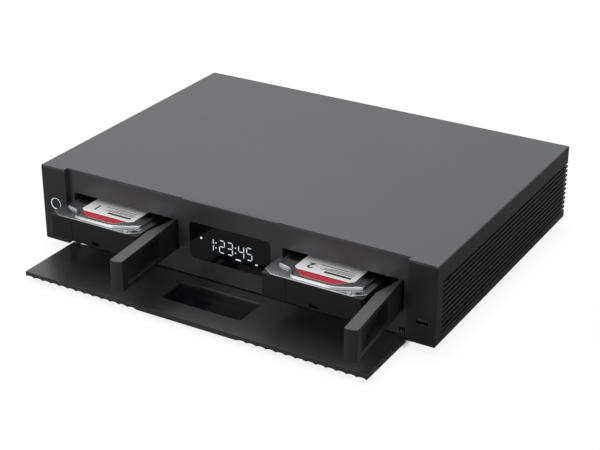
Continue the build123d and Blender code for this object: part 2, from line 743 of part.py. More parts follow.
# ---- socket board behind both bays ----
with BuildPart() as backplane:
    socket_y = front_y - drive_out + tray_travel + drive_length + 1.0
    board_front = front_y + cage_back + 3.5
    with BuildSketch(upright(board_front)):
        with Locations((-1.0, base_z + 34.0)):
            Rectangle(360.0, 34.0)
    extrude(amount=-1.6)
    with BuildSketch(upright(board_front)):
        for bay_x in bays.values():
            with Locations((bay_x + drive_offset + 20.0, base_z + drive_bottom + 2.3)):
                Rectangle(38.0, 5.0)
    extrude(amount=board_front - socket_y)
write(backplane, "backplane")

# ================= electronics at the back =================

with BuildPart() as main_board:
    board_z = base_z + 8.0
    main_x = 98.0
    main_y = front_y + 256.0
    with BuildSketch(Plane.XY.offset(board_z)):
        with Locations((main_x, main_y)):
            Rectangle(204.0, 90.0)
    extrude(amount=1.6)
    chips = ((50.0, 240.0, 12.0, 12.0), (66.0, 240.0, 12.0, 12.0), (150.0, 236.0, 16.0, 16.0),
             (176.0, 240.0, 10.0, 14.0))
    for chip_x, chip_y, chip_w, chip_l in chips:
        with BuildSketch(Plane.XY.offset(board_z + 1.6)):
            with Locations((chip_x, front_y + chip_y)):
                Rectangle(chip_w, chip_l)
        extrude(amount=1.6)
    board_posts = [(main_x + x, main_y + y) for x in (-97.0, 97.0) for y in (-40.0, 40.0)]
    with Locations(*[(x, y, board_z + 1.6) for x, y in board_posts]):
        Hole(screw_radius, depth=1.6)
write(main_board, "main_board")

with BuildPart() as board_standoffs:
    with BuildSketch(Plane.XY.offset(base_z + pan_thick)):
        with Locations(*board_posts):
            RegularPolygon(3.2, 6)
    extrude(amount=board_z - base_z - pan_thick)
    with Locations(*[(x, y, board_z) for x, y in board_posts]):
        Hole(screw_radius, depth=4.0)
write(board_standoffs, "board_standoffs")

with BuildPart() as board_screws:
    with Locations(*[(x, y, board_z + 1.6) for x, y in board_posts]):
        Cylinder(2.6, 1.8, align=(Align.CENTER, Align.CENTER, Align.MIN))
        Cylinder(screw_radius, 5.0, align=(Align.CENTER, Align.CENTER, Align.MAX))
write(board_screws, "board_screws")

with BuildPart() as heat_sink:
    with BuildSketch(Plane.XY.offset(board_z + 1.6)):
        with Locations((105.0, front_y + 244.0)):
            Rectangle(54.0, 50.0)
    extrude(amount=4.0)
    with BuildSketch(Plane.XY.offset(board_z + 5.6)):
        with Locations((105.0, front_y + 244.0)):
            with GridLocations(5.2, 0, 11, 1):
                Rectangle(1.6, 50.0)
    extrude(amount=22.0)
write(heat_sink, "heat_sink")

with BuildPart() as power_supply:
    supply_x = -140.0
    supply_y = front_y + 247.0
    with BuildSketch(Plane.XY.offset(base_z + pan_thick)):
        with Locations((supply_x, supply_y)):
            Rectangle(120.0, 76.0)
    extrude(amount=38.0)
    with BuildSketch(Plane.XY.offset(base_z + pan_thick + 38.0)):
        with Locations((supply_x, supply_y)):
            with GridLocations(9.0, 30.0, 10, 2):
                SlotOverall(24.0, 3.0, rotation=90)
    extrude(amount=-2.0, mode=Mode.SUBTRACT)
write(power_supply, "power_supply")

# ---- fan ----
fan_x = -41.0
fan_z = base_z + 40.0
fan_side = 60.0
fan_depth = 15.0
fan_front_y = rear_y - rear_thick - fan_depth
bore_radius = 28.5
blade_radius = 27.5
hub_radius = 12.0
with BuildPart() as fan_frame:
    with BuildSketch(upright(rear_y - rear_thick)):
        with Locations((fan_x, fan_z)):
            RectangleRounded(fan_side, fan_side, 4.0)
            Circle(bore_radius, mode=Mode.SUBTRACT)
    extrude(amount=fan_depth)
    with BuildSketch(upright(fan_front_y + 2.0)):
        with Locations((fan_x, fan_z)):
            Circle(hub_radius)
            for turn in (45, 135):
                Rectangle(2 * bore_radius + 1, 3.0, rotation=turn)
    extrude(amount=2.0)
    with BuildSketch(upright(fan_front_y + 9.0)):
        with Locations((fan_x, fan_z)):
            Circle(1.5)
    extrude(amount=7.0)
write(fan_frame, "fan_frame")

with BuildPart() as fan_rotor:
    with BuildSketch(upright(rear_y - rear_thick - 1.0)):
        with Locations((fan_x, fan_z)):
            Circle(hub_radius)
    extrude(amount=fan_depth - 4.0)
    with BuildSketch(upright(fan_front_y + 3.0)):
        with Locations((fan_x, fan_z)):
            Circle(1.5 + running_gap)
    extrude(amount=-7.0, mode=Mode.SUBTRACT)
    for turn in range(0, 360, 45):
        outward = (cos(radians(turn)), 0, sin(radians(turn)))
        with BuildSketch(Plane(origin=(fan_x, fan_front_y + 5.0, fan_z), x_dir=outward, z_dir=(0, -1, 0))):
            with BuildLine():
                ThreePointArc((hub_radius - 1.0, 0), (19.0, 2.6), (blade_radius, 1.0))
                Line((blade_radius, 1.0), (blade_radius, 3.2))
                ThreePointArc((blade_radius, 3.2), (19.0, 4.8), (hub_radius - 1.0, 2.2))
                Line((hub_radius - 1.0, 2.2), (hub_radius - 1.0, 0))
            make_face()
        extrude(amount=-7.0)
write(fan_rotor, "fan_rotor")

# ---- rear panel and its sockets ----
rear_bottom = base_z + pan_thick + 0.1
rear_top = panel_top_z - 0.1
socket_z = board_z + 1.6
hdmi_xs = (40.0, 62.0)
usb_xs = (86.0, 106.0)
lan_x = 128.0
optical_x = 148.0
audio_xs = (168.0, 184.0)
inlet_x = -150.0
inlet_z = base_z + 24.0
rocker_x = -112.0
with BuildPart() as rear_panel:
    with BuildSketch(upright(rear_y)):
        with Locations((0, (rear_bottom + rear_top) / 2)):
            Rectangle(2 * inner_half, rear_top - rear_bottom)
    extrude(amount=rear_thick)
    with BuildSketch(upright(rear_y)):
        for x in hdmi_xs:
            with Locations((x, socket_z + 3.2)):
                Rectangle(15.4, 6.0)
        for x in usb_xs:
            with Locations((x, socket_z + 8.0)):
                Rectangle(13.2, 15.4)
        with Locations((lan_x, socket_z + 6.8)):
            Rectangle(16.2, 13.2)
        with Locations((optical_x, socket_z + 5.2)):
            Rectangle(9.8, 9.8)
        with Locations(*[(x, socket_z + 6.0) for x in audio_xs]):
            Circle(5.2)
        with Locations((inlet_x, inlet_z)):
            Rectangle(27.4, 19.8)
        with Locations((rocker_x, inlet_z)):
            Rectangle(13.2, 19.4)
        # fan grille: rings of slots round a closed middle
        for ring in reversed(range(5)):
            with Locations((fan_x, fan_z)):
                Circle(9.5 + 4.4 * ring)
                Circle(6.5 + 4.4 * ring, mode=Mode.SUBTRACT)
        # upper vent
        with Locations((110.0, base_z + 62.0)):
            with GridLocations(8.0, 0, 16, 1):
                SlotOverall(20.0, 3.0, rotation=90)
    extrude(amount=rear_thick, mode=Mode.SUBTRACT)
    with BuildSketch(upright(rear_y)):
        with Locations((fan_x, fan_z)):
            for turn in (0, 60, 120):
                Rectangle(2 * bore_radius + 1.0, 2.6, rotation=turn)
            Circle(6.5)
    extrude(amount=rear_thick)
    with Locations(*[Plane(origin=(x, rear_y, base_z + rear_screw_z), z_dir=(0, 1, 0)) for x in rear_screw_xs]):
        Hole(screw_radius, depth=rear_thick)
write(rear_panel, "rear_panel")

with BuildPart() as hdmi_sockets:
    for x in hdmi_xs:
        with BuildSketch(upright(rear_y - 14.0)):
            with Locations((x, socket_z + 3.2)):
                Rectangle(15.0, 5.6)
        extrude(amount=-14.5)
        with BuildSketch(upright(rear_y + 0.5)):
            with Locations((x, socket_z + 3.2)):
                Rectangle(14.0, 4.5)
                Rectangle(11.6, 1.4, mode=Mode.SUBTRACT)
        extrude(amount=8.0, mode=Mode.SUBTRACT)
write(hdmi_sockets, "hdmi_sockets")

with BuildPart() as rear_usb_sockets:
    for x in usb_xs:
        with BuildSketch(upright(rear_y - 16.0)):
            with Locations((x, socket_z + 8.0)):
                Rectangle(13.0, 15.2)
        extrude(amount=-16.5)
        for level in (4.0, 12.0):
            with BuildSketch(upright(rear_y + 0.5)):
                with Locations((x, socket_z + level)):
                    Rectangle(12.2, 5.0)
                with Locations((x, socket_z + level + 1.1)):
                    Rectangle(11.0, 1.9, mode=Mode.SUBTRACT)
            extrude(amount=9.0, mode=Mode.SUBTRACT)
write(rear_usb_sockets, "rear_usb_sockets")

with BuildPart() as lan_socket:
    with BuildSketch(upright(rear_y - 17.0)):
        with Locations((lan_x, socket_z + 6.8)):
            Rectangle(16.0, 13.0)
    extrude(amount=-17.5)
    with BuildSketch(upright(rear_y + 0.5)):
        with Locations((lan_x, socket_z + 7.0)):
            Rectangle(11.8, 7.2)
        with Locations((lan_x, socket_z + 2.6)):
            Rectangle(6.2, 2.2)
    extrude(amount=12.0, mode=Mode.SUBTRACT)
write(lan_socket, "lan_socket")

with BuildPart() as audio_sockets:
    with BuildSketch(upright(rear_y - 14.0)):
        with Locations((sum(audio_xs) / 2, socket_z + 6.0)):
            Rectangle(30.0, 12.0)
    extrude(amount=-12.0)
    with BuildSketch(upright(rear_y - 2.0)):
        with Locations(*[(x, socket_z + 6.0) for x in audio_xs]):
            Circle(5.0)
    extrude(amount=-2.0)
    with BuildSketch(upright(rear_y)):
        with Locations(*[(x, socket_z + 6.0) for x in audio_xs]):
            Circle(4.15)
            Circle(3.3, mode=Mode.SUBTRACT)
    extrude(amount=-2.0)
    with BuildSketch(upright(rear_y)):
        with Locations(*[(x, socket_z + 6.0) for x in audio_xs]):
            Circle(1.6)
    extrude(amount=8.0, mode=Mode.SUBTRACT)
write(audio_sockets, "audio_sockets")

with BuildPart() as optical_socket:
    with BuildSketch(upright(rear_y - 13.0)):
        with Locations((optical_x, socket_z + 5.2)):
            Rectangle(9.6, 9.6)
    extrude(amount=-13.4)
    with BuildSketch(upright(rear_y + 0.4)):
        with Locations((optical_x, socket_z + 5.2)):
            Rectangle(6.4, 6.4)
            Circle(1.6, mode=Mode.SUBTRACT)
    extrude(amount=3.0, mode=Mode.SUBTRACT)
write(optical_socket, "optical_socket")

with BuildPart() as mains_inlet:
    with BuildSketch(upright(rear_y - 19.0)):
        with Locations((inlet_x, inlet_z)):
            Rectangle(27.2, 19.6)
    extrude(amount=-19.0)
    with BuildSketch(upright(rear_y)):
        with Locations((inlet_x, inlet_z)):
            Rectangle(31.0, 23.4)
    extrude(amount=-2.0)
    with BuildSketch(upright(rear_y + 2.0)):
        with BuildLine():
            recess = ((-12.0, -8.1), (12.0, -8.1), (12.0, 4.0), (7.9, 8.1), (-7.9, 8.1), (-12.0, 4.0))
            Polyline(*[(inlet_x + x, inlet_z + z) for x, z in recess], close=True)
        make_face()
    extrude(amount=16.0, mode=Mode.SUBTRACT)
    with BuildSketch(upright(rear_y - 14.0)):
        with Locations((inlet_x - 7.0, inlet_z - 1.6), (inlet_x + 7.0, inlet_z - 1.6), (inlet_x, inlet_z + 2.4)):
            Rectangle(2.0, 4.0)
    extrude(amount=-13.0)
write(mains_inlet, "mains_inlet")

rocker_axis_y = rear_y - 4.0
pivot_radius = 1.0
with BuildPart() as switch_frame:
    with BuildSketch(upright(rear_y)):
        with Locations((rocker_x, inlet_z)):
            Rectangle(15.6, 21.8)
            Rectangle(11.4, 17.6, mode=Mode.SUBTRACT)
    extrude(amount=-1.6)
    with BuildSketch(upright(rear_y - 13.0)):
        with Locations((rocker_x, inlet_z)):
            Rectangle(13.0, 19.2)
            Rectangle(11.4, 17.6, mode=Mode.SUBTRACT)
    extrude(amount=-13.0)
    with BuildSketch(upright(rear_y - 13.0)):
        with Locations((rocker_x, inlet_z)):
            Rectangle(13.0, 19.2)
    extrude(amount=-1.5)
    # sockets for the rocker's two pivots
    with BuildSketch(sideways(rocker_x - 6.5)):
        with Locations((rocker_axis_y, inlet_z)):
            Circle(pivot_radius + running_gap)
    extrude(amount=13.0, mode=Mode.SUBTRACT)
write(switch_frame, "switch_frame")

# the rocker is drawn level and then tipped into its "on" position
rocker_tip = 7.0
rocker_out = (0, cos(radians(rocker_tip)), sin(radians(rocker_tip)))
with BuildPart() as power_rocker:
    with BuildSketch(Plane(origin=(rocker_x - 5.3, rocker_axis_y, inlet_z), x_dir=rocker_out, z_dir=(1, 0, 0))):
        with BuildLine():
            Line((4.6, -8.2), (-2.0, -7.6))
            ThreePointArc((-2.0, -7.6), (-6.2, 0), (-2.0, 7.6))
            Line((-2.0, 7.6), (4.6, 8.2))
            ThreePointArc((4.6, 8.2), (3.4, 0), (4.6, -8.2))
        make_face()
    extrude(amount=10.6)
    with BuildSketch(sideways(rocker_x - 5.9)):
        with Locations((rocker_axis_y, inlet_z)):
            Circle(pivot_radius)
    extrude(amount=11.8)
write(power_rocker, "power_rocker")
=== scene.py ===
import json
import math
import bpy
from mathutils import Euler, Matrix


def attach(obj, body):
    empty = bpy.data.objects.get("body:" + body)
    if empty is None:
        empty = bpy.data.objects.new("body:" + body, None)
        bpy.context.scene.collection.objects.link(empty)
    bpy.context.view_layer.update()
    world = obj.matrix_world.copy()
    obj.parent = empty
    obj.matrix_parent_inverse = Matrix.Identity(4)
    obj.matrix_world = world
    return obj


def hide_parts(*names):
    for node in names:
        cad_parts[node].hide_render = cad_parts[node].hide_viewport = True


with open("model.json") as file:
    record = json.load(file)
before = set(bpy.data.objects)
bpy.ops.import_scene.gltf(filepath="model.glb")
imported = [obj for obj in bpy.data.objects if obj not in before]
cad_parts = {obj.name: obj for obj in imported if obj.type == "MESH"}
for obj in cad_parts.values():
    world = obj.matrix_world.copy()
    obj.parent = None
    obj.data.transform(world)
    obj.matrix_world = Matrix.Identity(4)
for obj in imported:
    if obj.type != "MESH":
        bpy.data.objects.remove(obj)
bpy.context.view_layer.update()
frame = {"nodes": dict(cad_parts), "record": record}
mm = 0.001


def deselectAll():
    if bpy.context.object and bpy.context.object.mode != "OBJECT":
        bpy.ops.object.mode_set(mode="OBJECT")
    bpy.ops.object.select_all(action="DESELECT")


def takeUp(piece):
    deselectAll()
    piece.select_set(True)
    bpy.context.view_layer.objects.active = piece


def startPiece(name):
    piece = bpy.context.object
    piece.name = name
    piece.data.name = name
    bpy.ops.object.transform_apply(location=True, rotation=True, scale=True)
    return piece


def startBox(name, low, high):
    deselectAll()
    middle = [(a + b) / 2 * mm for a, b in zip(low, high)]
    size = [(b - a) * mm for a, b in zip(low, high)]
    bpy.ops.mesh.primitive_cube_add(size=1, location=middle, scale=size)
    return startPiece(name)


def startDisc(name, middle, radius, depth, sides):
    deselectAll()
    bpy.ops.mesh.primitive_cylinder_add(
        vertices=sides, radius=radius * mm, depth=depth * mm, location=[v * mm for v in middle])
    return startPiece(name)


def startOutline(name, points, height):
    # a flat face whose corners are the given points
    deselectAll()
    bpy.ops.mesh.primitive_circle_add(vertices=len(points), radius=1, fill_type="NGON")
    piece = startPiece(name)
    for vertex, (x, y) in zip(piece.data.vertices, points):
        vertex.co = (x * mm, y * mm, height * mm)
    takeUp(piece)
    bpy.ops.object.mode_set(mode="EDIT")
    bpy.ops.mesh.select_all(action="SELECT")
    bpy.ops.mesh.normals_make_consistent(inside=False)
    bpy.ops.object.mode_set(mode="OBJECT")
    if piece.data.polygons[0].normal.z < 0:
        bpy.ops.object.mode_set(mode="EDIT")
        bpy.ops.mesh.flip_normals()
        bpy.ops.object.mode_set(mode="OBJECT")
    return piece


def pickFaces(piece, test):
    takeUp(piece)
    bpy.ops.object.mode_set(mode="EDIT")
    bpy.ops.mesh.select_mode(type="FACE")
    bpy.ops.mesh.select_all(action="DESELECT")
    bpy.ops.object.mode_set(mode="OBJECT")
    for face in piece.data.polygons:
        face.select = test(face.center / mm, face.normal)
    bpy.ops.object.mode_set(mode="EDIT")


def step(thickness, depth):
    # one inset of the faces in hand, sunk or raised by depth
    bpy.ops.mesh.inset(thickness=thickness * mm, depth=depth * mm, use_even_offset=True)


def done():
    bpy.ops.object.mode_set(mode="OBJECT")


def cutAcross(piece, point, direction):
    # cuts the faces along a plane and keeps both sides
    takeUp(piece)
    bpy.ops.object.mode_set(mode="EDIT")
    bpy.ops.mesh.select_all(action="SELECT")
    bpy.ops.mesh.bisect(plane_co=[v * mm for v in point], plane_no=direction)
    done()


# angles in degrees, lengths in millimetres
edgeWork = {"mergeReach": 0.002, "flatAngle": 0.6, "bevelAngle": 40, "bevelSegments": 2, "smoothAngle": 35}


def soften(piece, width):
    takeUp(piece)
    bevel = piece.modifiers.new("soften", "BEVEL")
    bevel.width = width * mm
    bevel.segments = edgeWork["bevelSegments"]
    bevel.limit_method = "ANGLE"
    bevel.angle_limit = math.radians(edgeWork["bevelAngle"])
    bevel.use_clamp_overlap = True
    bpy.ops.object.modifier_apply(modifier=bevel.name)
    smooth(piece, edgeWork["smoothAngle"])


def smooth(piece, angle):
    # smooth shading that keeps the large flats even
    takeUp(piece)
    bpy.ops.object.shade_smooth_by_angle(angle=math.radians(angle))
    even = piece.modifiers.new("even", "WEIGHTED_NORMAL")
    even.keep_sharp = True
    bpy.ops.object.modifier_apply(modifier=even.name)


def combine(piece, other, operation):
    takeUp(piece)
    change = piece.modifiers.new("combine", "BOOLEAN")
    change.operation = operation
    change.solver = "EXACT"
    change.object = other
    bpy.ops.object.modifier_apply(modifier=change.name)
    bpy.data.objects.remove(other)


def joinAll(pieces, name):
    deselectAll()
    for piece in pieces:
        piece.select_set(True)
    bpy.context.view_layer.objects.active = pieces[0]
    bpy.ops.object.join()
    pieces[0].name = name
    return pieces[0]


def closeUp(piece):
    # closes the open underside and turns every face outwards
    takeUp(piece)
    bpy.ops.object.mode_set(mode="EDIT")
    bpy.ops.mesh.select_mode(type="EDGE")
    bpy.ops.mesh.select_all(action="DESELECT")
    bpy.ops.mesh.select_non_manifold()
    bpy.ops.mesh.edge_face_add()
    bpy.ops.mesh.select_all(action="SELECT")
    bpy.ops.mesh.normals_make_consistent(inside=False)
    done()


def startSlab(name, points, low, thickness, steps=()):
    # an outline drawn up to its thickness, its top then shaped by insets
    piece = startOutline(name, points, low)
    pickFaces(piece, lambda c, n: True)
    bpy.ops.mesh.extrude_region_move(TRANSFORM_OT_translate={"value": (0, 0, thickness * mm)})
    for inset, depth in steps:
        step(inset, depth)
    done()
    closeUp(piece)
    return piece


def roundOff(piece, levels):
    takeUp(piece)
    rounding = piece.modifiers.new("round", "SUBSURF")
    rounding.levels = levels
    rounding.render_levels = levels
    bpy.ops.object.modifier_apply(modifier=rounding.name)


def setIn(piece, body, slot, *replaced, finish=None):
    # gives the piece its finish and its body, and hides the parts it replaces
    if finish is not False:
        piece.data.materials.clear()
        piece.data.materials.append(finishes[finish or slot])
    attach(piece, body)
    if replaced:
        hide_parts(*replaced)


def startGroup(name, inputs, outputs):
    group = bpy.data.node_groups.new(name, "ShaderNodeTree")
    for label, kind, value in inputs:
        socket = group.interface.new_socket(name=label, in_out="INPUT", socket_type=kind)
        socket.default_value = value
    for label in outputs:
        group.interface.new_socket(name=label, in_out="OUTPUT", socket_type="NodeSocketFloat")
    return group, group.nodes.new("NodeGroupInput"), group.nodes.new("NodeGroupOutput")


def objectPlace(tree):
    return tree.nodes.new("ShaderNodeTexCoord").outputs["Object"]


def calculate(tree, operation, *values, clamp=False):
    # one step of arithmetic; sockets are linked, numbers set
    node = tree.nodes.new("ShaderNodeMath")
    node.operation = operation
    node.use_clamp = clamp
    for socket, value in zip(node.inputs, values):
        if isinstance(value, (int, float)):
            socket.default_value = value
        else:
            tree.links.new(value, socket)
    return node.outputs["Value"]


def remap(tree, value, fromLimits, toLimits=(0.0, 1.0), curve="LINEAR"):
    node = tree.nodes.new("ShaderNodeMapRange")
    node.interpolation_type = curve
    for label, limit in zip(("From Min", "From Max", "To Min", "To Max"), (*fromLimits, *toLimits)):
        node.inputs[label].default_value = limit
    tree.links.new(value, node.inputs["Value"])
    return node.outputs["Result"]


def addNoise(tree, place, scale, detail=2.0, roughness=0.5, distortion=0.0):
    noise = tree.nodes.new("ShaderNodeTexNoise")
    noise.inputs["Detail"].default_value = detail
    noise.inputs["Roughness"].default_value = roughness
    noise.inputs["Distortion"].default_value = distortion
    tree.links.new(place, noise.inputs["Vector"])
    tree.links.new(scale, noise.inputs["Scale"])
    return noise.outputs["Fac"]


# scales are per metre, the edge width in millimetres; a range is where a mask starts and is full
wear = {
    "grainScale": 1500.0, "grainDetail": 3, "grainRoughness": 0.6, "grainRange": (0.3, 0.7),
    "patchScale": 14.0, "patchDetail": 5, "patchDistortion": 0.4, "patchRange": (0.35, 0.68),
    "edgeWidth": 0.6, "edgeBreakup": 220.0, "edgeSamples": 4, "edgeRange": (0.99, 0.80),
    "dustScale": 900.0, "dustUpward": (0.75, 1.0), "dustRange": (0.62, 0.72),
    "dustColour": (0.35, 0.34, 0.32),
    "grainShare": 0.4, "patchShare": 0.6,  # how much each one varies the roughness
}


def makeGrain():
    # fine grain, stretched along one way for brushed metal
    group, entry, leave = startGroup(
        "surfaceGrain",
        [("Scale", "NodeSocketFloat", wear["grainScale"]), ("Stretch", "NodeSocketVector", (1, 1, 1))],
        ["Grain", "Height"])
    mapping = group.nodes.new("ShaderNodeMapping")
    group.links.new(objectPlace(group), mapping.inputs["Vector"])
    group.links.new(entry.outputs["Stretch"], mapping.inputs["Scale"])
    grain = addNoise(group, mapping.outputs["Vector"], entry.outputs["Scale"],
                     detail=wear["grainDetail"], roughness=wear["grainRoughness"])
    group.links.new(remap(group, grain, wear["grainRange"]), leave.inputs["Grain"])
    group.links.new(grain, leave.inputs["Height"])
    return group


def makeHandling():
    # broad uneven patches, as left by handling and cleaning
    group, entry, leave = startGroup(
        "handlingMarks", [("Scale", "NodeSocketFloat", wear["patchScale"])], ["Patches"])
    patches = addNoise(group, objectPlace(group), entry.outputs["Scale"],
                       detail=wear["patchDetail"], distortion=wear["patchDistortion"])
    group.links.new(remap(group, patches, wear["patchRange"]), leave.inputs["Patches"])
    return group


def makeEdgeWearAndHighlight():
    # a mask on the outer edges, broken up by noise; the finishes lighten the edges with it, as rubbed wear
    # and as a painted highlight
    group, entry, leave = startGroup(
        "rubbedEdges",
        [("Width", "NodeSocketFloat", wear["edgeWidth"] * mm),
         ("Breakup", "NodeSocketFloat", wear["edgeBreakup"])],
        ["Edge"])
    rounded = group.nodes.new("ShaderNodeBevel")
    rounded.samples = wear["edgeSamples"]
    group.links.new(entry.outputs["Width"], rounded.inputs["Radius"])
    geometry = group.nodes.new("ShaderNodeNewGeometry")
    compare = group.nodes.new("ShaderNodeVectorMath")
    compare.operation = "DOT_PRODUCT"
    group.links.new(rounded.outputs["Normal"], compare.inputs[0])
    group.links.new(geometry.outputs["Normal"], compare.inputs[1])
    turned = remap(group, compare.outputs["Value"], wear["edgeRange"])
    breakup = addNoise(group, objectPlace(group), entry.outputs["Breakup"])
    group.links.new(calculate(group, "MULTIPLY", turned, breakup), leave.inputs["Edge"])
    return group


def makeDust():
    # fine dust that lies on what faces up
    group, entry, leave = startGroup(
        "restingDust", [("Scale", "NodeSocketFloat", wear["dustScale"])], ["Dust"])
    geometry = group.nodes.new("ShaderNodeNewGeometry")
    split = group.nodes.new("ShaderNodeSeparateXYZ")
    group.links.new(geometry.outputs["Normal"], split.inputs["Vector"])
    upward = remap(group, split.outputs["Z"], wear["dustUpward"])
    specks = addNoise(group, objectPlace(group), entry.outputs["Scale"])
    specks = remap(group, specks, wear["dustRange"])
    group.links.new(calculate(group, "MULTIPLY", upward, specks), leave.inputs["Dust"])
    return group


effects = {"grain": makeGrain(), "handling": makeHandling(), "edges": makeEdgeWearAndHighlight(),
           "dust": makeDust()}


def useEffect(tree, effect, **values):
    node = tree.nodes.new("ShaderNodeGroup")
    node.node_tree = effects[effect]
    for label, value in values.items():
        node.inputs[label].default_value = value
    return node


def blendColour(tree, mask, first, second, strength=1.0):
    mix = tree.nodes.new("ShaderNodeMix")
    mix.data_type = "RGBA"
    if strength != 1.0:
        mask = calculate(tree, "MULTIPLY", mask, strength)
    tree.links.new(mask, mix.inputs["Factor"])
    for socket, colour in ((mix.inputs["A"], first), (mix.inputs["B"], second)):
        if isinstance(colour, (tuple, list)):
            socket.default_value = (*colour, 1)
        else:
            tree.links.new(colour, socket)
    return mix.outputs["Result"]


# what a finish has where its own entry says nothing
usualLook = {"metal": 0.0, "specular": 0.5, "coat": 0.0, "coatRoughness": 0.1, "stretch": (1, 1, 1),
             "patchScale": wear["patchScale"], "edgeWidth": wear["edgeWidth"], "fleckAmount": 0.3,
             "reliefStrength": 0.3}


def makeFinish(name, ownLook):
    look = {**usualLook, **ownLook}
    material = bpy.data.materials.new(name)
    material.use_nodes = True
    tree = material.node_tree
    shader = tree.nodes["Principled BSDF"]
    shader.inputs["Metallic"].default_value = look["metal"]
    shader.inputs["Specular IOR Level"].default_value = look["specular"]
    shader.inputs["Coat Weight"].default_value = look["coat"]
    shader.inputs["Coat Roughness"].default_value = look["coatRoughness"]
    handling = useEffect(tree, "handling", Scale=look["patchScale"])
    grain = useEffect(tree, "grain", Scale=1 / (look["grainSize"] * mm), Stretch=look["stretch"])
    colour = blendColour(tree, handling.outputs["Patches"], look["colour"], look["shade"])
    if "fleck" in look:
        colour = blendColour(tree, grain.outputs["Grain"], colour, look["fleck"], look["fleckAmount"])
    # lighter edges: partly rubbed wear, partly a painted highlight
    if "edge" in look:
        edges = useEffect(tree, "edges", Width=look["edgeWidth"] * mm)
        colour = blendColour(tree, edges.outputs["Edge"], colour, look["edge"])
    if "dust" in look:
        dust = useEffect(tree, "dust", Scale=wear["dustScale"])
        colour = blendColour(tree, dust.outputs["Dust"], colour, wear["dustColour"], look["dust"])
    tree.links.new(colour, shader.inputs["Base Color"])
    patches = calculate(tree, "MULTIPLY", handling.outputs["Patches"], wear["patchShare"])
    uneven = calculate(tree, "MULTIPLY_ADD", grain.outputs["Grain"], wear["grainShare"], patches)
    tree.links.new(remap(tree, uneven, (0.0, 1.0), look["roughness"]), shader.inputs["Roughness"])
    if "relief" in look:
        bump = tree.nodes.new("ShaderNodeBump")
        bump.inputs["Strength"].default_value = look["reliefStrength"]
        bump.inputs["Distance"].default_value = look["relief"] * mm
        tree.links.new(grain.outputs["Height"], bump.inputs["Height"])
        tree.links.new(bump.outputs["Normal"], shader.inputs["Normal"])
    if "glow" in look:
        shader.inputs["Emission Color"].default_value = (*look["glow"], 1)
        shader.inputs["Emission Strength"].default_value = look["glowStrength"]
    return material


